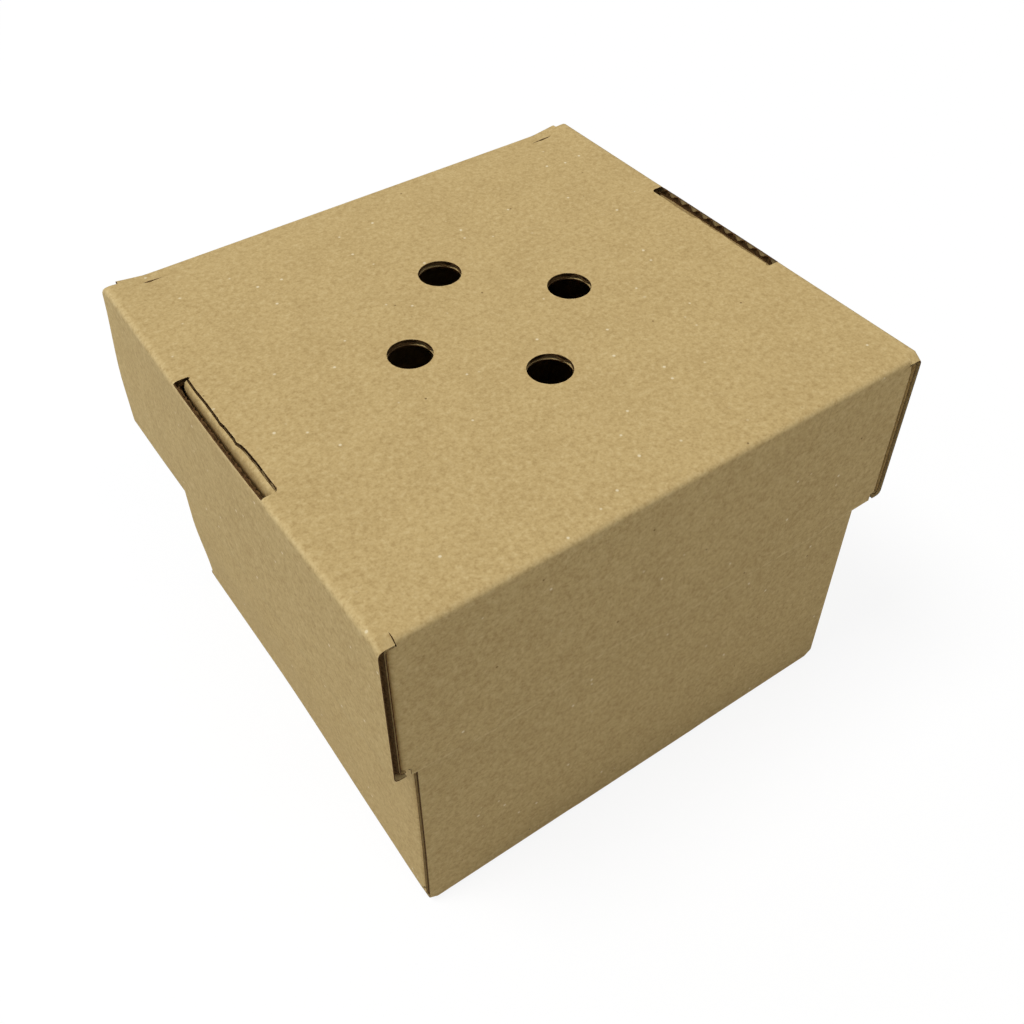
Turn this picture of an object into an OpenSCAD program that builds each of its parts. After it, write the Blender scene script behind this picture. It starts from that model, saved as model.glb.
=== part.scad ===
// Two-piece burger box of single-wall corrugated board: a deep base tray and a vented lid.
// Both are self-locking trays. Two opposite walls are doubled: the board runs up, turns over a
// flat crown and comes down again, and a tab on its end locks into a slot in the floor crease.
// The other two walls are single, and their corner flaps are trapped inside the double walls.
// The lid is such a tray upside down, and the base is turned a quarter turn against it.
// Origin: middle of the underside of the base, +X across the lid's double walls, +Z up.

/* [Lid] */
// Outside size of the lid from one double wall to the other
lid_span = 120; // [100:1:160]
// Outside size of the lid from one single wall to the other
lid_width = 113; // [100:1:150]
// Outside depth of the lid
lid_depth = 37.5; // [25:0.5:60]

/* [Base] */
// Outside height of the base tray
base_height = 90; // [70:0.5:120]

/* [Fit of the lid] */
// Air on each side between the lid's double walls and the base
side_clearance = 0.8; // [0.3:0.1:4]
// Air on each side between the lid's single walls and the base
end_clearance = 0.3; // [0.2:0.1:2]

/* [Board] */
// Thickness of the corrugated board
board_t = 1.5; // [1:0.1:2]
// Inside radius of a crease
crease_r = 0.3; // [0.1:0.1:0.8]
// Air between layers that lie against each other
layer_gap = 0.15; // [0.1:0.05:0.4]

/* [Steam vents] */
// Diameter of a vent in the lid
vent_d = 9; // [5:0.5:14]
// Distance of each vent's middle from the middle of the lid
vent_reach = 19; // [12:0.1:30]

/* [Locking tabs] */
// Length of the slot that a tab locks into
slot_len = 36.8; // [20:0.2:50]
// Corner radius of the slot on its panel side
slot_corner_r = 0.8; // [0.2:0.1:1.5]
// Depth of the outer wall's cut edge below the panel's face, in the slot
slot_drop = 0.6; // [0.2:0.1:1]
// Air at each end of the tab
tab_end_gap = 0.4; // [0.2:0.1:2]
// Air between the tab and the outer wall
tab_wall_gap = 0.4; // [0.2:0.1:1]
// Air between the tab and the slot's panel edge
tab_panel_gap = 0.15; // [0.1:0.05:0.5]
// Distance of the tab's tip below the panel's face
tab_tip_drop = 0.3; // [0.1:0.1:1]
// Height above the panel's face where the tab starts to lean outwards
tab_lean_h = 12; // [6:0.5:20]

/* [Corner flaps] */
// Distance that a corner flap stops short of the slot
flap_slot_gap = 3; // [1:0.5:15]
// Width of the cut between a single wall's crease and the panel's ear beside it
ear_cut = 0.3; // [0.2:0.1:1]

/* [Hidden] */
$fn = 48;
kraft = "#BDA576";
// Cutting overshoot past a face
over = 1;
// Length of sheet that two neighbouring runs of it have in common
lap = board_t;
// Outside radius of a crease
bend_r = crease_r + board_t;
// Thickness of a double wall: outer layer, corner flap, inner layer
double_t = 3 * board_t + 2 * layer_gap;
// Crease radius under the crown, which has to fit between the two layers
crown_in_r = min(crease_r, double_t / 2 - board_t);
crown_r = crown_in_r + board_t;
// Reach of the slot from the double wall's outer face
slot_reach = 2 * board_t + tab_wall_gap + tab_panel_gap;
tab_len = slot_len - 2 * tab_end_gap;
// Level in the air between the floor and the inner layer's lower edge
under_inner = board_t + layer_gap / 2;
// The base fits inside the lid, double walls under the lid's single walls
base_span = lid_width - 2 * (board_t + end_clearance);
base_width = lid_span - 2 * (double_t + side_clearance);
total_height = base_height + board_t;

// Quarter of a creased fold, round the origin, in the quadrant given by two signs
module fold(inner_r, right, up) {
    outer_r = inner_r + board_t;
    intersection() {
        difference() {
            circle(outer_r);
            circle(inner_r);
        }
        translate([right > 0 ? 0 : -outer_r, up > 0 ? 0 : -outer_r])
            square(outer_r);
    }
}

// Section of half the floor and a double wall: up, over the flat crown and down again, where the
// inner layer ends just clear of the floor
module double_section(span, height) {
    inner_face = span / 2 - double_t;
    translate([-lap, 0])
        square([span / 2 - bend_r + lap, board_t]);
    translate([span / 2 - bend_r, bend_r])
        fold(crease_r, 1, -1);
    translate([span / 2 - board_t, bend_r])
        square([board_t, height - crown_r - bend_r]);
    translate([span / 2 - crown_r, height - crown_r])
        fold(crown_in_r, 1, 1);
    translate([inner_face + crown_r, height - board_t])
        square([double_t - 2 * crown_r, board_t]);
    translate([inner_face + crown_r, height - crown_r])
        fold(crown_in_r, -1, 1);
    translate([inner_face, board_t + layer_gap])
        square([board_t, height - crown_r - board_t - layer_gap]);
}

// Section of the locking tab, from the inner wall outwards into the slot
module tab_section(span) {
    wall_face = span / 2 - double_t;
    tip_face = span / 2 - slot_reach + tab_panel_gap;
    straight_h = board_t + layer_gap;
    polygon([
        [wall_face, tab_lean_h + lap],
        [wall_face, tab_lean_h],
        [tip_face, straight_h],
        [tip_face, tab_tip_drop],
        [tip_face + board_t, tab_tip_drop],
        [tip_face + board_t, straight_h],
        [wall_face + board_t, tab_lean_h],
        [wall_face + board_t, tab_lean_h + lap]
    ]);
}

// Stretch of a section in the X-Z plane, centred on Y
module along_wall(length) {
    rotate([90, 0, 0])
        linear_extrude(height = length, center = true)
            children();
}

// Outline of the slot, seen from above, with its panel side rounded
module slot_outline(span) {
    panel_edge = span / 2 - slot_reach;
    translate([panel_edge + slot_corner_r, -slot_len / 2])
        square([slot_reach + over, slot_len]);
    translate([panel_edge, slot_corner_r - slot_len / 2])
        square([slot_reach, slot_len - 2 * slot_corner_r]);
    for (side = [-1, 1])
        translate([panel_edge + slot_corner_r, side * (slot_len / 2 - slot_corner_r)])
            circle(slot_corner_r);
}

// What the slot takes away: the floor up to the outer wall, and a shallow step in that wall
module slot_cut(span) {
    translate([0, 0, -over])
        linear_extrude(height = over + slot_drop)
            slot_outline(span);
    translate([0, 0, -over])
        linear_extrude(height = over + bend_r)
            intersection() {
                slot_outline(span);
                translate([0, -slot_len])
                    square([span / 2 - board_t, 2 * slot_len]);
            }
}

// Double wall with its half of the floor, its slot and its tab. The inner layer is open over the
// slot, where the tab leans out, and at each end, where a single wall comes in
module double_wall(span, width, height) {
    inner_face = span / 2 - double_t;
    clear_len = width - 2 * (board_t + layer_gap);
    difference() {
        along_wall(width)
            double_section(span, height);
        slot_cut(span);
        translate([inner_face - over, -slot_len / 2, under_inner])
            cube([board_t + 2 * over, slot_len, tab_lean_h - under_inner]);
        for (side = [-1, 1])
            translate([inner_face - over, side * (clear_len + width) / 2 - width / 2, under_inner])
                cube([double_t / 2 + over, width, height]);
    }
    along_wall(tab_len)
        tab_section(span);
}

// Plan of one corner of a single wall: its end, the turn and the flap inside the double wall
module flap_plan(wall_half, width, flap_len) {
    translate([wall_half - lap, -width / 2])
        square([lap, board_t]);
    translate([wall_half, bend_r - width / 2])
        fold(crease_r, 1, -1);
    translate([wall_half + crease_r, bend_r - width / 2])
        square([board_t, flap_len - bend_r]);
}

// Section of a single wall, round the middle of its crease: a strip of the floor, the crease and
// the wall
module single_section(height) {
    translate([0, -bend_r])
        square([lap, board_t]);
    fold(crease_r, -1, -1);
    translate([-bend_r, 0])
        square([board_t, height - bend_r]);
}

// Single wall on the -Y side with its two flaps
module single_wall(span, width, height) {
    wall_half = span / 2 - board_t - layer_gap - bend_r;
    flap_len = (width - slot_len) / 2 - flap_slot_gap;
    translate([0, bend_r - width / 2, bend_r])
        rotate([90, 0, 90])
            linear_extrude(height = 2 * wall_half, center = true)
                single_section(height);
    for (side = [0, 1])
        mirror([side, 0, 0])
            translate([0, 0, bend_r])
                linear_extrude(height = height - 2 * bend_r)
                    flap_plan(wall_half, width, flap_len);
}

// Whole tray, floor down: double walls on the X sides, single walls on the Y sides
module tray(span, width, height) {
    wall_half = span / 2 - board_t - layer_gap - bend_r;
    difference() {
        for (side = [0, 1])
            mirror([side, 0, 0])
                double_wall(span, width, height);
        for (side = [-1, 1])
            translate([0, side * width / 2, 0])
                cube([2 * (wall_half + ear_cut), 2 * bend_r, 2 * bend_r], center = true);
    }
    for (side = [0, 1])
        mirror([0, side, 0])
            single_wall(span, width, height);
}

// Deep tray that holds the burger, with its double walls at front and back
module base_tray() {
    color(kraft)
        rotate([0, 0, 90])
            tray(base_span, base_width, base_height);
}

// Lid: a shallow tray upside down over the base, with four steam vents in its top panel
module vented_lid() {
    color(kraft)
        difference() {
            translate([0, 0, total_height])
                mirror([0, 0, 1])
                    tray(lid_span, lid_width, lid_depth);
            for (turn = [0:90:270])
                rotate([0, 0, turn])
                    translate([vent_reach, 0, base_height - over])
                        cylinder(h = board_t + 2 * over, d = vent_d);
        }
}

base_tray();
vented_lid();
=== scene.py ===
# Burger box of brown corrugated board: a vented lid over a deep base tray.
# Everything is modelled in millimetres and brought to metres when it is finished.
import math
import bmesh
import bpy
import numpy as np
from mathutils import Matrix, Vector


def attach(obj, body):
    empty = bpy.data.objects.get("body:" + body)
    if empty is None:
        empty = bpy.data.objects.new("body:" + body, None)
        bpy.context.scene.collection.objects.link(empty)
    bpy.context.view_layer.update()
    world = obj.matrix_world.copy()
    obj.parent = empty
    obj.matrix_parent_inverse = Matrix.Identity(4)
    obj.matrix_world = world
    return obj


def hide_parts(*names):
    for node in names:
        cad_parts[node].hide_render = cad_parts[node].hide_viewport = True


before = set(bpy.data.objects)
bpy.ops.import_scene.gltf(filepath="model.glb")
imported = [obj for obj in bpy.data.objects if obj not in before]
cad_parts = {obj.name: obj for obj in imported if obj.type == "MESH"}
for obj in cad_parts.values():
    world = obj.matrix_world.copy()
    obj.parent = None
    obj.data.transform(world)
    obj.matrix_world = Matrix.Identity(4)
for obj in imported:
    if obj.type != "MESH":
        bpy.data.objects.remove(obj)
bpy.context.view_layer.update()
print("frame loaded")


def only(*items):
    # selects just these, with the first one active
    bpy.ops.object.select_all(action="DESELECT")
    for item in items:
        item.select_set(True)
    bpy.context.view_layer.objects.active = items[0]


def near(a, b, slack=0.01):
    return abs(a - b) < slack


def ramp(value, low, high):
    # 0 at low, 1 at high, with soft ends; low may be the larger one
    share = np.clip((value - low) / (high - low), 0, 1)
    return share * share * (3 - 2 * share)


def pickFaces(test):
    bpy.ops.mesh.select_mode(type="FACE")
    bpy.ops.mesh.select_all(action="DESELECT")
    cage = bmesh.from_edit_mesh(bpy.context.edit_object.data)
    for face in cage.faces:
        if not face.hide and test(face.calc_center_median()):
            face.select_set(True)
    bmesh.update_edit_mesh(bpy.context.edit_object.data)


def pickEdges(test):
    bpy.ops.mesh.select_mode(type="EDGE")
    bpy.ops.mesh.select_all(action="DESELECT")
    cage = bmesh.from_edit_mesh(bpy.context.edit_object.data)
    for edge in cage.edges:
        start, end = edge.verts[0].co, edge.verts[1].co
        if not edge.hide and test((start + end) / 2, (end - start).normalized()):
            edge.select_set(True)
    bmesh.update_edit_mesh(bpy.context.edit_object.data)


def scoreRow(axis, place):
    # a straight row of points across the picked faces
    spot, normal = [0, 0, 0], [0, 0, 0]
    spot[axis], normal[axis] = place, 1
    bpy.ops.mesh.bisect(plane_co=spot, plane_no=normal, threshold=0.0001)


def scoreAll(axis, places):
    for place in places:
        bpy.ops.mesh.select_all(action="SELECT")
        scoreRow(axis, place)


def steps(low, high, pitch):
    # evenly spaced places strictly between low and high
    count = max(1, math.ceil((high - low) / pitch))
    return [low + (high - low) * k / count for k in range(1, count)]


# the board and the two trays, in mm
board = {
    "thickness": 1.5,
    "liner": 0.22,        # one of the two outer papers
    "medium": 0.16,       # the wavy paper between them
    "flute": 3.57,        # from crest to crest
    "skin": 0.005,        # the liners stay this far inside the board's faces
    "endRecess": 0.35,    # the wavy paper ends this far inside the double walls' ends
    "creaseRadius": 0.3,  # inside a fold
    "layerGap": 0.15,     # air between layers of a double wall
    "rowPitch": 4.0,      # rows of points in the liners
    "rowMargin": 0.9,     # how far those rows keep from a fold
    "innerMargin": 1.2,   # and from the inner layers
    "mediumPitch": 12.0,  # rows along the wavy paper
    "mediumReach": 54,
    "fluteSteps": 6,      # rows across one flute
    "bendSteps": 6,
    "foldPower": 3.6,     # 2 is a round fold, more is squarer
    "smoothAngle": 40,
}
lock = {
    "slotLength": 36.8,
    "slotCorner": 0.8,
    "wallDrop": 0.6,      # the outer wall's cut edge, below the panel's face
    "tabEndGap": 0.4,
    "tabWallGap": 0.4,
    "tabPanelGap": 0.15,
    "tabTipDrop": 0.3,
    "tabLean": 12,
    "tabRows": [0.6, 1.0, 2.3, 3.4, 5],
    "heldFrom": 5,        # the tab's part below this is held up while the slot is cut
    "heldGap": 0.3,
    "stepRows": [3.3, 4.5],   # where the slot's panel edge steps out
    "flapGap": 3,
    "earCut": 0.3,
    "earSeam": 0.05,      # what is left of that cut once the crease has spread
    "earFall": 0.7,       # slope at which the ears follow the single walls' creases down
    "earHeight": 10,      # how far up the double walls that slope reaches
    "earPress": 0.75,     # share of its thickness that an ear's edge loses
}
lid = {
    "span": 120,          # from one double wall to the other
    "width": 113,
    "height": 37.5,
    "top": 91.5,          # above the table
    "ventDiameter": 9,
    "ventReach": 19,
    "ventSides": 64,
}
base = {"span": 109.4, "width": 109, "height": 90}


def plan(tray):
    # places in a tray that stands on its floor, with its double walls on the X sides
    thick, crease, gap = board["thickness"], board["creaseRadius"], board["layerGap"]
    half, wide, high = tray["span"] / 2, tray["width"] / 2, tray["height"]
    double = 3 * thick + 2 * gap
    bend = crease + thick
    wallHalf = half - thick - gap - bend
    return {
        "mid": thick / 2,
        "bend": bend,
        "bendMid": crease + thick / 2,
        "outerX": half - thick / 2,
        "innerX": half - double + thick / 2,
        "crownX": half - double / 2,
        "topZ": high - thick / 2,
        "lowZ": thick + gap,
        "clearY": wide - thick - gap,
        "creaseY": wide - bend,
        "endY": wide - thick / 2,
        "wideY": wide,
        "wallHalf": wallHalf,
        "earX": wallHalf + lock["earCut"],
        "flapX": wallHalf + crease + thick / 2,
        "flapEndY": lock["slotLength"] / 2 + lock["flapGap"],
        "high": high,
        "half": half,
        "slotHalf": lock["slotLength"] / 2,
        "tabHalf": lock["slotLength"] / 2 - lock["tabEndGap"],
        "tabX": half - 2 * thick - lock["tabWallGap"] + thick / 2,
        "panelEdge": half - 2 * thick - lock["tabWallGap"] - lock["tabPanelGap"],
    }


def isEndWall(spot, p):
    # true on a single wall, its crease and its flaps, false on the rest of the sheet
    x, y, z = abs(spot[0]), abs(spot[1]), spot[2]
    if x < p["wallHalf"] + 0.01:
        fromAxis = math.hypot(y - p["creaseY"], z - p["bend"])
        onCrease = z < p["bend"] + 0.01 and near(fromAxis, p["bendMid"], 0.05)
        return y > p["wideY"] - board["thickness"] or (y > p["creaseY"] - 0.001 and onCrease)
    inside = p["bend"] - 0.01 < z < p["high"] - p["bend"] + 0.01
    return x < p["flapX"] + 0.01 and inside and y > p["slotHalf"] + 1


def doubleWalls(p):
    # floor and both double walls, pulled up, over the crown and down from one flat plane
    bpy.ops.mesh.primitive_plane_add(size=1, calc_uvs=False, location=(0, 0, p["mid"]))
    sheet = bpy.context.object
    bpy.ops.object.transform_apply(location=True, rotation=False, scale=False)
    bpy.ops.object.mode_set(mode="EDIT")
    bpy.ops.transform.resize(value=(2 * p["outerX"], 2 * p["wideY"], 1), center_override=(0, 0, p["mid"]))
    pickEdges(lambda middle, way: near(abs(middle.x), p["outerX"]))
    bpy.ops.mesh.extrude_region_move(TRANSFORM_OT_translate={"value": (0, 0, p["topZ"] - p["mid"])})
    bpy.ops.mesh.extrude_region_move(TRANSFORM_OT_translate={"value": (0, 0, 0)})
    bpy.ops.transform.resize(value=(p["innerX"] / p["outerX"], 1, 1), center_override=(0, 0, p["topZ"]))
    bpy.ops.mesh.extrude_region_move(TRANSFORM_OT_translate={"value": (0, 0, p["lowZ"] - p["topZ"])})
    pickEdges(
        lambda middle, way: near(abs(way.y), 1)
        and (near(abs(middle.x), p["outerX"]) or near(middle.z, p["topZ"]))
    )
    bpy.ops.mesh.bevel(
        offset=p["bendMid"], segments=board["bendSteps"], affect="EDGES",
        offset_type="OFFSET", clamp_overlap=False,
    )
    return sheet


def trimDoubleWalls(p):
    # the floor makes room for the single walls, the inner layer for the flaps and the tab
    onFloor = lambda c: near(c.z, p["mid"]) and abs(c.x) < p["half"] - p["bend"]
    for side in (-1, 1):
        pickFaces(onFloor)
        scoreRow(1, side * p["creaseY"])
        for place in (p["earX"], p["wallHalf"]):
            pickFaces(onFloor)
            scoreRow(0, side * place)
        pickFaces(lambda c: near(c.z, p["topZ"]))
        scoreRow(0, side * p["crownX"])
        pickFaces(lambda c: abs(c.x) < p["crownX"] and c.z > p["lowZ"])
        scoreRow(1, side * p["clearY"])
    pickFaces(lambda c: onFloor(c) and abs(c.x) < p["earX"] and abs(c.y) > p["creaseY"])
    bpy.ops.mesh.delete(type="FACE")
    pickFaces(lambda c: abs(c.y) > p["clearY"] and abs(c.x) < p["crownX"] and c.z > p["lowZ"])
    bpy.ops.mesh.delete(type="FACE")
    onInner = lambda c: near(abs(c.x), p["innerX"])
    pickFaces(onInner)
    scoreRow(2, lock["tabLean"])
    for place in (-p["slotHalf"], -p["tabHalf"], p["tabHalf"], p["slotHalf"]):
        pickFaces(onInner)
        scoreRow(1, place)
    pickFaces(lambda c: onInner(c) and c.z < lock["tabLean"] and p["tabHalf"] < abs(c.y) < p["slotHalf"])
    bpy.ops.mesh.delete(type="FACE")
    pickEdges(
        lambda middle, way: onInner(middle) and near(middle.z, p["lowZ"]) and abs(middle.y) < p["tabHalf"]
    )
    bpy.ops.transform.resize(value=(p["tabX"] / p["innerX"], 1, 1), center_override=(0, 0, p["lowZ"]))
    bpy.ops.mesh.extrude_region_move(TRANSFORM_OT_translate={"value": (0, 0, lock["tabTipDrop"] - p["lowZ"])})
    onTab = lambda c: (
        p["innerX"] - 0.01 < abs(c.x) < p["tabX"] + 0.01 and abs(c.y) < p["tabHalf"]
        and c.z < lock["tabLean"] and not near(c.z, p["mid"])
    )
    for place in lock["tabRows"]:
        pickFaces(onTab)
        scoreRow(2, place)


def singleWalls(p):
    # each single wall turns up out of the floor, and its ends turn into the double walls
    quarter = math.pi / 2
    for side in (-1, 1):
        pickEdges(
            lambda middle, way: near(middle.y, side * p["creaseY"])
            and near(middle.z, p["mid"]) and abs(middle.x) < p["wallHalf"]
        )
        bpy.ops.mesh.spin(
            steps=board["bendSteps"], angle=-side * quarter, axis=(1, 0, 0),
            center=(0, side * p["creaseY"], p["bend"]),
        )
        bpy.ops.mesh.extrude_region_move(TRANSFORM_OT_translate={"value": (0, 0, p["high"] - p["bend"])})
        pickFaces(lambda c: near(c.y, side * p["endY"]))
        scoreRow(2, p["high"] - p["bend"])
        for end in (-1, 1):
            pickEdges(
                lambda middle, way: near(middle.x, end * p["wallHalf"]) and near(middle.y, side * p["endY"])
                and p["bend"] < middle.z < p["high"] - p["bend"] and near(abs(way.z), 1)
            )
            bpy.ops.mesh.spin(
                steps=board["bendSteps"], angle=side * end * quarter, axis=(0, 0, 1),
                center=(end * p["wallHalf"], side * p["creaseY"], 0),
            )
            reach = p["creaseY"] - p["flapEndY"]
            bpy.ops.mesh.extrude_region_move(TRANSFORM_OT_translate={"value": (0, -side * reach, 0)})


def spotsOf(piece):
    spots = np.zeros(len(piece.data.vertices) * 3)
    piece.data.vertices.foreach_get("co", spots)
    return spots.reshape(-1, 3)


def moveSpots(piece, spots):
    piece.data.vertices.foreach_set("co", spots.ravel())
    piece.data.update()


def tabShare(piece):
    # 1 on the locking tabs
    share = np.zeros(len(piece.data.vertices))
    piece.data.attributes["lockingTab"].data.foreach_get("value", share)
    return share > 0.5


def moveTabs(piece, fromTip, toTip):
    # the tabs are held up out of the slots while those are cut
    spots, top = spotsOf(piece), lock["heldFrom"]
    z = spots[:, 2]
    moved = top - (top - z) * (top - toTip) / (top - fromTip)
    spots[:, 2] = np.where(tabShare(piece) & (z < top), moved, z)
    moveSpots(piece, spots)


def foldedSheet(tray):
    # the middle of the board, without thickness, folded into its tray
    p = plan(tray)
    sheet = doubleWalls(p)
    trimDoubleWalls(p)
    singleWalls(p)
    bpy.ops.mesh.select_all(action="SELECT")
    bpy.ops.mesh.remove_doubles(threshold=0.001)
    bpy.ops.mesh.normals_make_consistent(inside=False)
    bpy.ops.object.mode_set(mode="OBJECT")
    x, y, z = np.abs(spotsOf(sheet)).T
    onTab = (x > p["innerX"] + 0.01) & (x < p["tabX"] + 0.01) & (y < p["tabHalf"] + 0.01)
    onTab &= (z < lock["tabLean"]) & (np.abs(z - p["mid"]) > 0.01)
    sheet.data.attributes.new("lockingTab", "FLOAT", "POINT").data.foreach_set("value", onTab.astype(float))
    return sheet


def flatPlace(spot, p):
    # where a point of the folded sheet lies on the flat blank; the flutes run along the first number
    x, y, z = spot
    quarter = math.pi / 2
    if isEndWall(spot, p):
        along, rise = abs(x), p["bendMid"] * quarter + z - p["bend"]
        if abs(x) > p["wallHalf"] + 0.001:
            past = abs(y) - p["creaseY"]
            turn = math.atan2(abs(x) - p["wallHalf"], past) if past > 0 else quarter
            along = p["wallHalf"] + p["bendMid"] * turn + max(0, -past)
        if z < p["bend"] - 0.001:
            rise = p["bendMid"] * math.atan2(abs(y) - p["creaseY"], p["bend"] - z)
        return math.copysign(along, x), math.copysign(p["creaseY"] + rise, y)
    along = abs(x)
    if abs(x) > p["crownX"] and not near(z, p["mid"]):
        along = p["half"] - p["bend"] + z - p["mid"]
    elif not near(z, p["mid"]) and z > p["mid"]:
        along = p["half"] - p["bend"] + 2 * p["topZ"] - z + p["outerX"] - abs(x)
    return math.copysign(along, x), y


def layBlankMap(sheet, p):
    # the blank's own flat layout as the piece's map, in metres
    blankMap = sheet.data.uv_layers.new(name="blank")
    places = [flatPlace(point.co, p) for point in sheet.data.vertices]
    for loop in sheet.data.loops:
        along, across = places[loop.vertex_index]
        blankMap.data[loop.index].uv = (along / 1000, across / 1000)


def copyOf(piece, name):
    only(piece)
    bpy.ops.object.duplicate()
    bpy.context.object.name = name
    return bpy.context.object


def linerRows(p):
    # where the liners' rows lie along Y, with those at the step in the slot's panel edge
    flatY, step = p["creaseY"] - board["rowMargin"], lock["stepRows"]
    return [-flatY] + steps(-flatY, flatY, board["rowPitch"]) + [flatY] + step + [-place for place in step]


def scoreLiner(sheet, p):
    only(sheet)
    bpy.ops.object.mode_set(mode="EDIT")
    margin, pitch = board["rowMargin"], board["rowPitch"]
    flatX = p["innerX"] - board["innerMargin"]
    # rimZ is a row just inside the rim, which keeps the rims' painted highlight to a narrow line
    lowZ, highZ, rimZ = p["bend"] + margin, p["high"] - p["bend"] - margin, p["high"] - rubAndHighlight["rim"]
    scoreAll(0, [-flatX] + steps(-flatX, flatX, pitch) + [flatX])
    scoreAll(1, linerRows(p) + [-p["creaseY"], p["creaseY"]])
    scoreAll(2, [lowZ] + steps(lowZ, highZ, pitch) + [highZ, rimZ])
    bpy.ops.object.mode_set(mode="OBJECT")


def scoreMedium(sheet, p):
    # fine rows across the flutes, coarse ones along them
    only(sheet)
    bpy.ops.object.mode_set(mode="EDIT")
    pitch, reach, fine = board["mediumPitch"], board["mediumReach"], board["flute"] / board["fluteSteps"]
    scoreAll(0, steps(-reach, reach, pitch))
    scoreAll(1, steps(-reach, reach, pitch) + [-p["creaseY"], p["creaseY"]])
    scoreAll(2, steps(p["bend"], p["high"] - p["bend"], pitch))
    count = int(p["wideY"] / fine)
    pickFaces(lambda c: isEndWall(c, p))
    bpy.ops.mesh.hide(unselected=False)
    scoreAll(1, [k * fine for k in range(-count, count + 1)])
    bpy.ops.mesh.reveal(select=False)
    pickFaces(lambda c: not isEndWall(c, p))
    bpy.ops.mesh.hide(unselected=False)
    start = p["creaseY"] + p["bendMid"] * math.pi / 2 - p["bend"]
    first, last = math.ceil((start + p["bend"]) / fine) + 1, int((start + p["high"]) / fine)
    scoreAll(2, [k * fine - start for k in range(first, last)])
    bpy.ops.mesh.reveal(select=False)
    bpy.ops.object.mode_set(mode="OBJECT")


def offsetSheet(sheet, way):
    only(sheet)
    bpy.ops.object.mode_set(mode="EDIT")
    bpy.ops.mesh.select_all(action="SELECT")
    bpy.ops.transform.shrink_fatten(value=way * (board["thickness"] / 2 - board["liner"] / 2 - board["skin"]))
    bpy.ops.object.mode_set(mode="OBJECT")


def waveMedium(sheet, p):
    spots = spotsOf(sheet)
    normals = np.zeros(spots.size)
    sheet.data.vertices.foreach_get("normal", normals)
    normals = normals.reshape(-1, 3)
    across = np.array([flatPlace(spot, p)[1] for spot in spots])
    height = board["thickness"] / 2 - board["liner"] - board["medium"] / 2
    # a crest lies right at one cut edge, which leaves a dark hollow there
    wave = -height * np.cos((across - p["wideY"]) * 2 * math.pi / board["flute"])
    spots += normals * wave[:, None]
    # at the double walls' ends the wavy paper lies a little inside the two liners
    onEnd = (np.abs(spots[:, 1]) > p["wideY"] - 0.1) & (np.abs(spots[:, 0]) > p["wallHalf"] + 0.1)
    spots[:, 1] = np.where(onEnd, np.sign(spots[:, 1]) * (p["wideY"] - board["endRecess"]), spots[:, 1])
    moveSpots(sheet, spots)


def giveThickness(sheet, thickness):
    only(sheet)
    bpy.ops.object.modifier_add(type="SOLIDIFY")
    solid = sheet.modifiers[-1]
    solid.thickness = thickness
    solid.offset = 0
    solid.material_offset_rim = 1
    bpy.ops.object.modifier_apply(modifier=solid.name)


def slotCutter(p, side):
    # the slot's panel side is rounded, and the outer wall keeps a cut edge below the panel's face
    low, length, wall = -2, lock["slotLength"], p["half"] - board["thickness"]
    wide = p["half"] + 1 - p["panelEdge"]
    middle = (side * (p["panelEdge"] + wide / 2), 0, (low + lock["wallDrop"]) / 2)
    bpy.ops.mesh.primitive_cube_add(size=1, location=middle)
    cutter = bpy.context.object
    cutter.scale = (wide, length, lock["wallDrop"] - low)
    bpy.ops.object.transform_apply(location=True, rotation=False, scale=True)
    bpy.ops.object.mode_set(mode="EDIT")
    bpy.ops.mesh.select_all(action="SELECT")
    scoreRow(0, side * wall)
    pickFaces(lambda c: near(c.z, lock["wallDrop"]) and abs(c.x) < wall)
    bpy.ops.mesh.extrude_region_move(TRANSFORM_OT_translate={"value": (0, 0, p["bend"] - lock["wallDrop"])})
    pickEdges(lambda middle, way: near(abs(middle.x), p["panelEdge"]) and near(abs(way.z), 1))
    bpy.ops.mesh.bevel(offset=lock["slotCorner"], segments=5, affect="EDGES", clamp_overlap=False)
    bpy.ops.object.mode_set(mode="OBJECT")
    return cutter


def ventCutters(tray):
    made, reach = [], tray["ventReach"]
    for turn in range(4):
        angle = turn * math.pi / 2
        place = (reach * math.cos(angle), reach * math.sin(angle), board["thickness"] / 2)
        bpy.ops.mesh.primitive_cylinder_add(
            vertices=tray["ventSides"], radius=tray["ventDiameter"] / 2, depth=4, location=place
        )
        made.append(bpy.context.object)
    return made


def cutOut(piece, cutter):
    only(piece)
    bpy.ops.object.modifier_add(type="BOOLEAN")
    cut = piece.modifiers[-1]
    cut.operation = "DIFFERENCE"
    cut.solver = "EXACT"
    cut.material_mode = "TRANSFER"
    cut.object = cutter
    bpy.ops.object.modifier_apply(modifier=cut.name)


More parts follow.
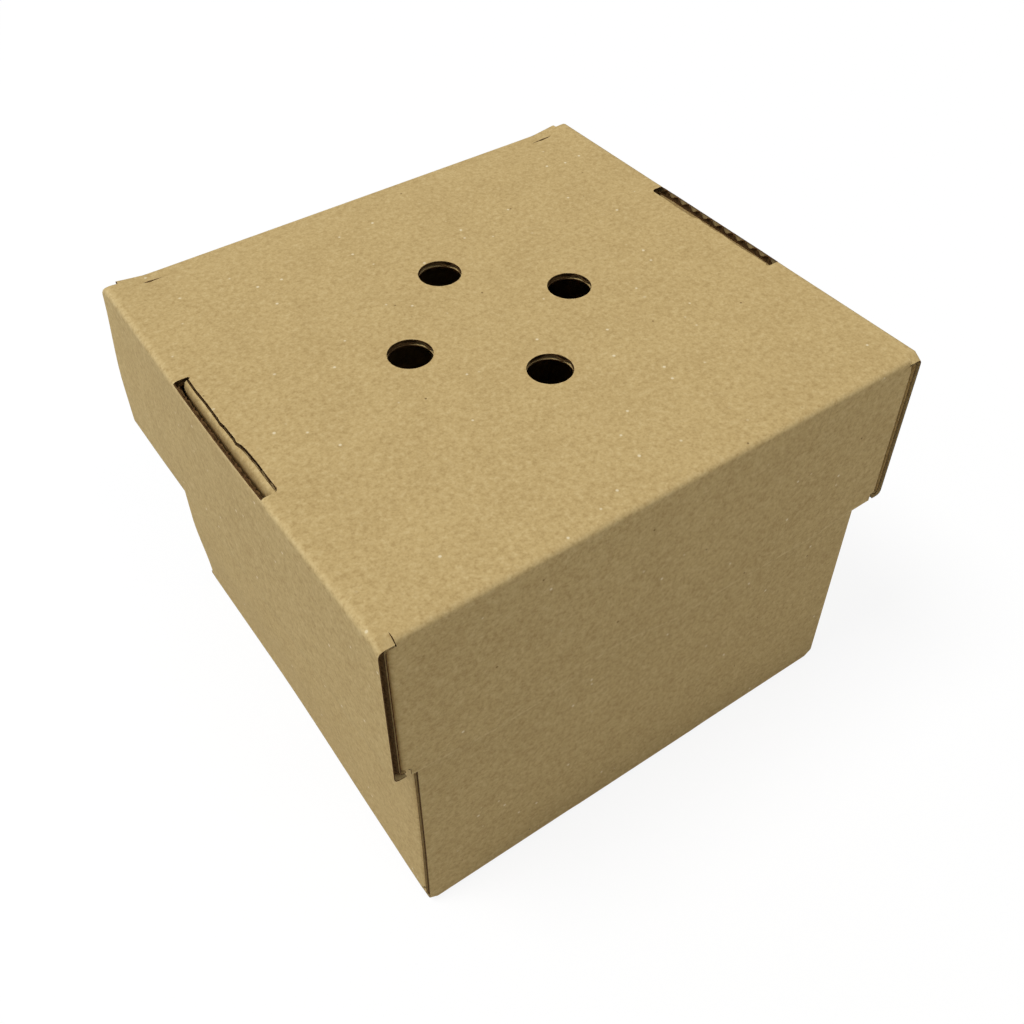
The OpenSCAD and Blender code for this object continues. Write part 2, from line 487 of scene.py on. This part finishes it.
def corrugatedTray(tray, name, papers):
    # two liners and the wavy medium between them, folded, cut and joined as one sheet of board
    p = plan(tray)
    fold = foldedSheet(tray)
    medium = copyOf(fold, name + "Medium")
    scoreLiner(fold, p)
    scoreMedium(medium, p)
    for sheet in (fold, medium):
        layBlankMap(sheet, p)
    waveMedium(medium, p)
    outer, inner = copyOf(fold, name), copyOf(fold, name + "Inner")
    offsetSheet(outer, 1)
    offsetSheet(inner, -1)
    for sheet, paper in ((outer, "liner"), (inner, "liner"), (medium, "medium")):
        sheet.data.materials.append(papers[paper])
        # the board's cut edges take the edge paper, darkened as painted shade
        sheet.data.materials.append(papers["edge"])
        giveThickness(sheet, board[paper])
    cutters = [slotCutter(p, -1), slotCutter(p, 1)]
    if "ventReach" in tray:
        cutters += ventCutters(tray)
    only(*cutters)
    bpy.ops.object.join()
    cutter = bpy.context.object
    # the slots' and vents' cut walls take the same edge paper, darkened as painted shade
    cutter.data.materials.append(papers["edge"])
    tip, heldUp = lock["tabTipDrop"], p["bend"] + lock["heldGap"]
    for sheet in (outer, inner, medium):
        moveTabs(sheet, tip, heldUp)
        cutOut(sheet, cutter)
        moveTabs(sheet, heldUp, tip)
    only(outer, inner, medium)
    bpy.ops.object.join()
    bpy.data.objects.remove(cutter)
    bpy.data.objects.remove(fold)
    return outer


def linear(hexColor):
    # an sRGB hex colour as the linear one that a shader takes
    parts = [int(hexColor[k:k + 2], 16) / 255 for k in (1, 3, 5)]
    return [c / 12.92 if c <= 0.04045 else ((c + 0.055) / 1.055) ** 2.4 for c in parts] + [1]


def perMm(size):
    # scale of a pattern whose grain is this many mm
    return 1000 / size


def addNode(material, kind, settings=None, links=None):
    # a node with its settings, its inputs linked from other nodes' outputs
    made = material.node_tree.nodes.new(kind)
    for key, value in (settings or {}).items():
        if key in made.inputs:
            made.inputs[key].default_value = value
        else:
            setattr(made, key, value)
    for key, source in (links or {}).items():
        material.node_tree.links.new(source, made.inputs[key])
    return made


def tint(material, amount, under, over):
    # mixes the colour over into the output under, as much as the output amount says
    mix = addNode(material, "ShaderNodeMix", {"data_type": "RGBA"})
    material.node_tree.links.new(amount, mix.inputs[0])
    if isinstance(under, str):
        mix.inputs[6].default_value = linear(under)
    else:
        material.node_tree.links.new(under, mix.inputs[6])
    mix.inputs[7].default_value = linear(over)
    return mix.outputs[2]


def between(material, source, low, high, most=1.0):
    # 0 at low and most at high
    return addNode(
        material, "ShaderNodeMapRange",
        {"From Min": low, "From Max": high, "To Max": most, "interpolation_type": "SMOOTHSTEP"},
        {"Value": source}
    ).outputs["Result"]


def combine(material, how, first, second):
    made = addNode(material, "ShaderNodeMath", {"operation": how})
    for socket, value in zip(made.inputs, (first, second)):
        if isinstance(value, (int, float)):
            socket.default_value = value
        else:
            material.node_tree.links.new(value, socket)
    return made.outputs["Value"]


def noise(material, vector, grain, detail=2.0, roughness=0.5):
    return addNode(
        material, "ShaderNodeTexNoise",
        {"Scale": perMm(grain), "Detail": detail, "Roughness": roughness}, {"Vector": vector}
    ).outputs["Fac"]


def blankPaper(name, roughness, specular):
    material = bpy.data.materials.new(name)
    material.use_nodes = True
    shader = material.node_tree.nodes["Principled BSDF"]
    shader.inputs["Roughness"].default_value = roughness
    shader.inputs["Specular IOR Level"].default_value = specular
    return material, shader


def relief(material, shader, height, depth):
    # depth in mm
    bump = addNode(
        material, "ShaderNodeBump", {"Strength": 1.0, "Distance": depth / 1000}, {"Height": height}
    )
    material.node_tree.links.new(bump.outputs["Normal"], shader.inputs["Normal"])


kraft = {
    "color": "#C0A671",
    "pale": "#D6C08E",       # longer, paler fibres, and the colour of the painted highlight on folds and rims
    "deep": "#9B7F4F",       # cloudy patches of the pulp
    "fleck": "#E6D8B4",
    "speck": "#634A2A",
    "cloudSize": 9.0,        # all sizes in mm
    "cloudShare": 0.12,      # how strongly each pattern tints the paper
    "mottleSize": 1.1,
    "mottleShare": 0.38,
    "grainSize": 0.45,
    "grainDark": 0.28,
    "grainPale": 0.25,
    "fibreLength": 1.6,
    "fibreWidth": 0.4,
    "fibreShare": 0.2,
    "wearAndHighlightShare": 0.4,
    "fleckSpace": 4.5,
    "fleckSize": 0.42,
    "speckSpace": 5.5,
    "speckSize": 0.32,
    "relief": 0.01,
    "washboard": 0.6,       # share of the relief that the flutes show through
}


def kraftLiner():
    # brown kraft liner: cloudy pulp, short fibres, pale flecks and dark specks, with pale folds that are
    # partly worn paper and partly painted highlight
    material, shader = blankPaper("unbleached kraft liner", 0.88, 0.15)
    here = addNode(material, "ShaderNodeTexCoord").outputs["Object"]
    blank = addNode(material, "ShaderNodeUVMap", {"uv_map": "blank"}).outputs["UV"]
    run = addNode(
        material, "ShaderNodeMapping",
        {"Scale": (1.0, kraft["fibreWidth"] / kraft["fibreLength"], 1.0)}, {"Vector": blank}
    ).outputs["Vector"]
    clouds = noise(material, here, kraft["cloudSize"], 3)
    mottle = noise(material, here, kraft["mottleSize"], 4, 0.65)
    grain = noise(material, here, kraft["grainSize"], 2)
    fibres = noise(material, run, kraft["fibreWidth"], 3, 0.7)
    shade = kraft["color"]
    for pattern, low, high, share, color in (
        (clouds, 0.35, 0.7, kraft["cloudShare"], kraft["deep"]),
        (mottle, 0.52, 0.32, kraft["mottleShare"], kraft["deep"]),
        (mottle, 0.5, 0.7, kraft["mottleShare"], kraft["pale"]),
        (grain, 0.5, 0.3, kraft["grainDark"], kraft["deep"]),
        (grain, 0.52, 0.72, kraft["grainPale"], kraft["pale"]),
        (fibres, 0.58, 0.78, kraft["fibreShare"], kraft["pale"]),
    ):
        shade = tint(material, between(material, pattern, low, high, share), shade, color)
    for space, size, color, chance in (
        (kraft["fleckSpace"], kraft["fleckSize"], kraft["fleck"], 0.3),
        (kraft["speckSpace"], kraft["speckSize"], kraft["speck"], 0.35),
    ):
        cells = addNode(material, "ShaderNodeTexVoronoi", {"Scale": perMm(space)}, {"Vector": here})
        dot = between(material, cells.outputs["Distance"], size / space, 0.4 * size / space)
        cellColor = addNode(material, "ShaderNodeSeparateColor", None, {"Color": cells.outputs["Color"]})
        lucky = between(material, cellColor.outputs["Red"], chance, chance + 0.3, 0.8)
        some = combine(material, "MULTIPLY", dot, lucky)
        shade = tint(material, some, shade, color)
    # folds are tinted pale: on their ridges partly worn paper and partly painted highlight, on the single
    # walls' rims a painted highlight line
    wearAndHighlight = addNode(material, "ShaderNodeAttribute", {"attribute_name": "foldWearAndHighlight"}).outputs["Fac"]
    rubbedAndHighlit = combine(material, "MULTIPLY", wearAndHighlight, between(material, mottle, 0.3, 0.6, kraft["wearAndHighlightShare"]))
    shade = tint(material, rubbedAndHighlit, shade, kraft["pale"])
    material.node_tree.links.new(shade, shader.inputs["Base Color"])
    across = addNode(material, "ShaderNodeSeparateXYZ", None, {"Vector": blank}).outputs["Y"]
    turns = combine(material, "MULTIPLY", across, 2 * math.pi * perMm(board["flute"]))
    flutes = combine(material, "MULTIPLY", combine(material, "SINE", turns, 0), kraft["washboard"])
    rough = combine(material, "ADD", mottle, combine(material, "MULTIPLY", fibres, 0.5))
    relief(material, shader, combine(material, "ADD", rough, flutes), kraft["relief"])
    return material


# the fluting's colours are darkened as painted shade, so the hollows at the board's cut ends look dark
fluting = {"color": "#6B5130", "deep": "#46331C", "grain": 0.5, "relief": 0.05}


def flutingPaperWithShade():
    # the wavy middle paper: a greyer, coarser recycled brown, darkened as painted shade for its hollows at
    # the cut ends
    material, shader = blankPaper("fluting medium with painted shade", 0.95, 0.1)
    here = addNode(material, "ShaderNodeTexCoord").outputs["Object"]
    grain = noise(material, here, fluting["grain"], 4, 0.65)
    shade = tint(material, between(material, grain, 0.35, 0.65), fluting["color"], fluting["deep"])
    material.node_tree.links.new(shade, shader.inputs["Base Color"])
    relief(material, shader, grain, fluting["relief"])
    return material


# the edge colours are darkened as painted shade of the cut edges and the vents' walls
cutEdgeShade = {"color": "#66492A", "deep": "#432E18", "grain": 0.3, "relief": 0.05}


def cutPaperWithShade():
    # where the knife went through: raw fibres, darkened as painted shade on the board's cut edges and the
    # vents' cut walls
    material, shader = blankPaper("cut paper edge with painted shade", 0.95, 0.08)
    here = addNode(material, "ShaderNodeTexCoord").outputs["Object"]
    grain = noise(material, here, cutEdgeShade["grain"], 3, 0.7)
    shade = tint(material, between(material, grain, 0.35, 0.65), cutEdgeShade["color"], cutEdgeShade["deep"])
    material.node_tree.links.new(shade, shader.inputs["Base Color"])
    relief(material, shader, grain, cutEdgeShade["relief"])
    return material


papers = {"liner": kraftLiner(), "medium": flutingPaperWithShade(), "edge": cutPaperWithShade()}
print("papers made")


rubAndHighlight = {
    "from": 1.3,          # where the pale ridge of a fold starts, and where it is full, in mm; worn paper and painted highlight
    "full": 0.6,
    "endShare": 0.5,      # the single walls' folds get less of the pale ridge, and their rims more, as a painted highlight line
    "rimHighlightShare": 1.6,
    # the liner's row that keeps the rims' painted highlight line narrow
    "rim": 0.6,
}


def markFoldWearAndHighlight(piece, p):
    # this attribute is 1 on the very ridge of a fold and more on a rim: pale ridges of worn paper and painted
    # highlight, and a painted highlight line on the rims
    x, y, z = np.abs(spotsOf(piece)).T
    toSide, toEnd, toTop = p["half"] - x, p["wideY"] - y, p["high"] - z
    ridge = lambda a, b: ramp(np.maximum(a, b), rubAndHighlight["from"], rubAndHighlight["full"])
    wearAndHighlight = np.maximum(ridge(toSide, z), ridge(toSide, toTop))
    wearAndHighlight = np.maximum(wearAndHighlight, rubAndHighlight["endShare"] * ridge(toEnd, z) * (x < p["wallHalf"] + 0.5))
    # the rims of the single walls get a pale line that is painted highlight
    wearAndHighlight = np.maximum(wearAndHighlight, rubAndHighlight["rimHighlightShare"] * ramp(toTop, 0.5, 0.1) * (toEnd < 1.6))
    made = piece.data.attributes.new("foldWearAndHighlight", "FLOAT", "POINT")
    made.data.foreach_set("value", wearAndHighlight)


def crispFolds(piece, p):
    # a scored fold is squarer than a round bend, so its outer paper goes out towards the corner
    spots = spotsOf(piece)
    side, end = np.sign(spots[:, 0]), np.sign(spots[:, 1])
    x, y, z = np.abs(spots).T
    bend = p["bend"]

    def squared(a, b, mask):
        # a and b are the distances in from the two faces that meet at the fold
        u, w = bend - a, bend - b
        far = np.hypot(u, w)
        inside = mask & (u > 0) & (w > 0) & (far > bend - board["thickness"] * 0.7)
        turn = np.arctan2(np.clip(w, 0, None), np.clip(u, 1e-6, None))
        power = board["foldPower"]
        push = (np.cos(turn) ** power + np.sin(turn) ** power) ** (-1 / power) - 1
        grow = np.where(inside, 1 + push * ramp(far, bend - board["thickness"] * 0.7, bend - 0.3), 1)
        return np.where(inside, bend - u * grow, a), np.where(inside, bend - w * grow, b)

    onSide = x > p["half"] - bend
    toSide, z = squared(p["half"] - x, z, onSide & (z < bend))
    x = p["half"] - toSide
    toSide, toTop = squared(p["half"] - x, p["high"] - z, onSide & (z > p["high"] - bend))
    x, z = p["half"] - toSide, p["high"] - toTop
    toEnd, z = squared(p["wideY"] - y, z, (x < p["wallHalf"] + 0.01) & (z < bend))
    corner = p["wallHalf"] + bend
    onTurn = (x < corner + 0.01) & (z > bend) & (z < p["high"] - bend + 0.01)
    toTurn, toEnd = squared(corner - x, toEnd, onTurn)
    x = np.where(onTurn, corner - toTurn, x)
    spots[:, 0], spots[:, 1], spots[:, 2] = x * side, (p["wideY"] - toEnd) * end, z
    moveSpots(piece, spots)


def closeEars(piece, p):
    # the sheet's ears bend down beside the single walls' creases, and the cut between them closes
    spots = spotsOf(piece)
    x, y, z = np.abs(spots).T
    onEar = (x > p["wallHalf"] + 0.1) & (y > p["creaseY"]) & (z < lock["earHeight"])
    fall = lock["earFall"] * (y - p["creaseY"]) * ramp(z, lock["earHeight"], board["thickness"])
    pressed = lock["earPress"] * ramp(y, p["creaseY"], p["wideY"]) * ramp(x, p["half"] - 0.4, p["half"] - 2)
    spots[:, 2] += np.where(onEar, fall - np.where(z < p["bend"], z * pressed, 0), 0)
    onCrease = (x > p["wallHalf"] - 1) & (x < p["wallHalf"] + 0.02)
    onCrease &= (y > p["creaseY"] - 0.01) & (z < p["bend"])
    shift = (lock["earCut"] - lock["earSeam"]) * ramp(x, p["wallHalf"] - 1, p["wallHalf"])
    shift *= ramp(z, p["bend"], p["bend"] * 0.5)
    spots[:, 0] += np.where(onCrease, np.sign(spots[:, 0]) * shift, 0)
    moveSpots(piece, spots)


press = {
    "leftWall": 0.33,     # share of its thickness that the slot's wall edge loses
    "rightWall": 0.6,
    "height": 5,
    "tabBend": 3.4,       # depth from which the tab turns in under the panel's edge, mm
    "tabThin": 0.15,      # share of its thickness that is left at the tip
    "tabFall": 0.3,
    "tabGrow": 0.25,      # the pressed tab spreads at its ends
    "panelReach": 2.5,    # how far into the panel its edge is moved
    "panelStep": 0.5,     # how far part of the slot's panel edge stands out, mm
    "ragged": 0.1,
}


def pressLocks(piece, p):
    # the locking tabs bend in under the panel, and the board is pressed thin around their slots
    spots = spotsOf(piece)
    x, y, z = spots.T
    wide, side = np.abs(x), np.sign(x)
    inSlot = ramp(np.abs(y), p["slotHalf"] + 0.4, p["slotHalf"] - 1)
    slotSpan = np.abs(y) < p["slotHalf"] + 0.5
    # worked out on the liners' rows, so that all three papers take the same line
    rows = np.array(sorted(linerRows(p)))
    low, high = lock["stepRows"]
    edgeOut = [
        np.interp(y, rows, press["panelStep"] * ramp(way * rows, -high, -low)
                  + press["ragged"] * (np.sin(rows * 1.7 + 1) + 0.6 * np.sin(rows * 4.1 + 2) - 1))
        for way in (-1, 1)
    ]
    edgeOut = np.where(side < 0, edgeOut[0], edgeOut[1])
    tabFoot = p["panelEdge"] + lock["tabPanelGap"]
    tip = lock["tabTipDrop"]
    onTab = tabShare(piece) & (z < press["tabBend"])
    rise = np.clip((z - tip) / (press["tabBend"] - tip), 0, 1)
    full = press["tabThin"] + (1 - press["tabThin"]) * np.sqrt(1 - (1 - rise) ** 2)
    tabWide = tabFoot + (wide - tabFoot) * full + (1 - full) * edgeOut
    onWall = (wide > p["half"] - board["thickness"] - 0.1) & slotSpan & (z < press["height"])
    thinner = np.where(side < 0, press["leftWall"], press["rightWall"]) * ramp(z, press["height"], 0.8)
    wallWide = p["half"] - (p["half"] - wide) * (1 - thinner * inSlot)
    panelFrom = p["panelEdge"] - press["panelReach"]
    onPanel = (wide <= p["panelEdge"] + 0.01) & (wide > panelFrom) & slotSpan & (z < p["bend"] - 0.1)
    panelWide = wide + edgeOut * ramp(wide, panelFrom, p["panelEdge"]) * inSlot
    spots[:, 0] = side * np.select([onTab, onWall, onPanel], [tabWide, wallWide, panelWide], wide)
    spread = press["tabGrow"] * ramp(np.abs(y), p["tabHalf"] - 2, p["tabHalf"]) * (1 - rise)
    spots[:, 1] += np.where(onTab, np.sign(y) * spread, 0)
    spots[:, 2] += np.where(onTab, press["tabFall"] * (1 - rise), 0)
    moveSpots(piece, spots)


def settledTray(tray, name, turn, lift):
    # a folded tray, turned and lifted into its place in the box
    piece = corrugatedTray(tray, name, papers)
    for settle in (markFoldWearAndHighlight, crispFolds, closeEars, pressLocks):
        settle(piece, plan(tray))
    piece.rotation_euler = turn
    piece.location = (0, 0, lift)
    only(piece)
    bpy.ops.object.transform_apply(location=True, rotation=True, scale=False)
    return piece


def finishPiece(piece, name, body, replaced):
    # metres, smooth faces, and the CAD body that it belongs to
    only(piece)
    piece.name = name
    piece.data.name = name
    piece.scale = (0.001, 0.001, 0.001)
    bpy.ops.object.transform_apply(location=True, rotation=True, scale=True)
    bpy.ops.object.shade_smooth_by_angle(angle=math.radians(board["smoothAngle"]))
    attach(piece, body)
    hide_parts(replaced)
    print(name, len(piece.data.polygons), "faces")


lidSettle = {
    "backSag": 1.0,       # the back fold lies lower than the two corners beside it, mm
    "sagFrom": 44,
    "sagEnds": (59, 50),  # the sag's two ends, where it starts and where it is full
    "leftLean": 1.4,      # the left wall's back end leans in
    "leanDepth": 26,      # how far down from the top the sag and the lean reach
    "edgePlaces": [-60, -40, -28, -20.5, -13.6, -8, 4, 17, 39, 52, 60],   # the wavy front edge
    "edgeDrop": [0, 2.0, 1.9, 0.1, -2.0, -1.2, 1.4, 0.8, 1.4, 0, 0],
    "edgeDepth": 16,      # below this the walls follow their lower edges
    "leftDrop": 0.5,
}


def settleLid(piece):
    # the top panel sags at its back, the left wall leans in, and the lower edges are a little wavy
    spots = spotsOf(piece)
    x, y, z = spots.T
    half, wide = lid["span"] / 2, lid["width"] / 2
    depth = lid["top"] - z
    low, leanDepth = lid["height"] - board["creaseRadius"], lidSettle["leanDepth"]
    sag = lidSettle["backSag"] * ramp(y, lidSettle["sagFrom"], wide) * ramp(np.abs(x), *lidSettle["sagEnds"])
    spots[:, 2] -= sag * ramp(depth, leanDepth, 2)
    drop = np.interp(x, lidSettle["edgePlaces"], lidSettle["edgeDrop"])
    onFront = (y < -wide + 2.2) & (np.abs(x) < 56.7)
    spots[:, 2] -= np.where(onFront, drop * ramp(depth, lidSettle["edgeDepth"], low), 0)
    onLeft = ramp(-x, half - 6, half - 4) * ramp(np.abs(y - 35), 25, 5)
    spots[:, 2] -= lidSettle["leftDrop"] * onLeft * ramp(depth, lidSettle["edgeDepth"], low)
    lean = lidSettle["leftLean"] * ramp(y, -8, wide + 8) * ramp(-x, 0, half) * ramp(depth, leanDepth, 0)
    spots[:, 0] += lean
    spots[:, 1] = np.clip(y, -wide, wide)
    moveSpots(piece, spots)


baseSettle = {
    "leftIn": 1.3,        # how far the left wall's foot stands in at the back and out at the front, mm
    "leftOut": 0.2,
    "footHeight": 24,
    "endIn": 0.7,         # the back wall's end stays short of the left wall's face
}


def settleBase(piece):
    # the left wall's foot pulls in towards the back, and stands out a little at the front
    spots = spotsOf(piece)
    x, y, z = spots.T
    foot = ramp(-x, 46, 54) * ramp(z, baseSettle["footHeight"], 1)
    shift = foot * (baseSettle["leftIn"] * ramp(y, -50, 20) - baseSettle["leftOut"] * ramp(-y, 35, 54))
    onEnd = (y > base["span"] / 2 - board["thickness"] - 0.1) & (x < -51)
    shift += np.where(onEnd, baseSettle["endIn"] * ramp(-x, 51, 54.3), 0)
    spots[:, 0] += shift
    moveSpots(piece, spots)


lidBoard = settledTray(lid, "foldedLid", (math.pi, 0, 0), lid["top"])
settleLid(lidBoard)
finishPiece(lidBoard, "vented_lid_board", "lid", "vented_lid")

baseBoard = settledTray(base, "foldedBase", (0, 0, math.pi / 2), 0)
settleBase(baseBoard)
finishPiece(baseBoard, "base_tray_board", "base", "base_tray")

# the floor and the lights
studio = {
    "floorColor": "#C4C4C4",
    "shadowShare": 0.12,      # how much of the floor's own shading the camera sees
    "sky": 0.36,
    "suns": [                 # softness in degrees across
        {"from": (-0.4, 0.12, 0.9), "strength": 2.0, "softness": 22},
        {"from": (0.1, -0.55, 0.83), "strength": 0.24, "softness": 14},
    ],
    "lampSize": 0.15,
    "lamps": [
        {"place": (-0.3, 0.3, 0.2), "watts": 0.2, "color": (0.82, 1.0, 1.3)},
        {"place": (0.38, -0.25, 0.06), "watts": 0.05, "color": (1, 1, 1)},
    ],
}


def whiteFloor():
    # a plain pale floor that the camera sees as white, with the box's faint shadow left in it
    material = bpy.data.materials.new("pale studio floor")
    material.use_nodes = True
    tree = material.node_tree
    tree.nodes.remove(tree.nodes["Principled BSDF"])
    ray = addNode(material, "ShaderNodeLightPath")
    seen = combine(material, "MAXIMUM", ray.outputs["Is Camera Ray"], ray.outputs["Is Glossy Ray"])
    seen = combine(material, "MAXIMUM", seen, ray.outputs["Is Transmission Ray"])
    paint = tint(material, seen, studio["floorColor"], "#FFFFFF")
    matt = addNode(material, "ShaderNodeBsdfDiffuse", None, {"Color": paint})
    white = addNode(material, "ShaderNodeEmission", {"Color": (1, 1, 1, 1), "Strength": 1.0})
    share = combine(material, "MULTIPLY", seen, 1 - studio["shadowShare"])
    mix = addNode(material, "ShaderNodeMixShader")
    tree.links.new(share, mix.inputs[0])
    tree.links.new(matt.outputs["BSDF"], mix.inputs[1])
    tree.links.new(white.outputs["Emission"], mix.inputs[2])
    tree.links.new(mix.outputs["Shader"], tree.nodes["Material Output"].inputs["Surface"])
    return material


bpy.ops.mesh.primitive_plane_add(size=6, location=(0, 0, -0.0002))
floor = bpy.context.object
floor.name = "studio_floor"
bpy.ops.object.transform_apply(location=True)
floor.data.materials.append(whiteFloor())

world = bpy.data.worlds.new("plain studio")
bpy.context.scene.world = world
world.use_nodes = True
backdrop = world.node_tree.nodes["Background"]
ray = world.node_tree.nodes.new("ShaderNodeLightPath")
level = world.node_tree.nodes.new("ShaderNodeMapRange")
level.inputs["To Min"].default_value = studio["sky"]
level.inputs["To Max"].default_value = 1.0
world.node_tree.links.new(ray.outputs["Is Camera Ray"], level.inputs["Value"])
world.node_tree.links.new(level.outputs["Result"], backdrop.inputs["Strength"])
backdrop.inputs["Color"].default_value = (1, 1, 1, 1)

for wanted in studio["suns"]:
    bpy.ops.object.light_add(type="SUN", location=wanted["from"])
    sun = bpy.context.object
    sun.data.energy = wanted["strength"]
    sun.data.angle = math.radians(wanted["softness"])
    sun.rotation_euler = Vector(wanted["from"]).to_track_quat("Z", "Y").to_euler()
for lamp in studio["lamps"]:
    bpy.ops.object.light_add(type="AREA", location=lamp["place"])
    soft = bpy.context.object
    soft.data.energy = lamp["watts"]
    soft.data.color = lamp["color"]
    soft.data.size = studio["lampSize"]
    soft.visible_camera = False
    soft.rotation_euler = (Vector(lamp["place"]) - Vector((0, 0, 0.045))).to_track_quat("Z", "Y").to_euler()

view = {
    "azimuth": -34.4,     # degrees; 0 looks along +Y
    "elevation": 45.12,
    "roll": -0.75,
    "distance": 261.73,   # mm from the box's middle, 44.5 mm up
    "sideways": 0.63,
    "upwards": -0.67,
    "focal": 1162.74,     # in pixels of a 1024 pixel frame
    "middle": (497.74, 490.94),
}


def aimCamera():
    turn, rise, roll = (math.radians(view[key]) for key in ("azimuth", "elevation", "roll"))
    back = Vector((math.sin(turn) * math.cos(rise), -math.cos(turn) * math.cos(rise), math.sin(rise)))
    right = (-back).cross(Vector((0, 0, 1))).normalized()
    up = right.cross(-back)
    rolledRight = right * math.cos(roll) + up * math.sin(roll)
    rolledUp = up * math.cos(roll) - right * math.sin(roll)
    spot = Vector((0, 0, 44.5)) + back * view["distance"]
    spot += rolledRight * view["sideways"] + rolledUp * view["upwards"]
    bpy.ops.object.camera_add(location=spot / 1000)
    camera = bpy.context.object
    camera.rotation_euler = Matrix((rolledRight, rolledUp, back)).transposed().to_euler()
    camera.data.sensor_width = 36
    camera.data.lens = view["focal"] / 1024 * 36
    camera.data.shift_x = (512 - view["middle"][0]) / 1024
    camera.data.shift_y = (view["middle"][1] - 512) / 1024
    camera.data.clip_start = 0.01
    bpy.context.scene.camera = camera


aimCamera()
bpy.context.scene.view_settings.view_transform = "Standard"
print("studio ready")
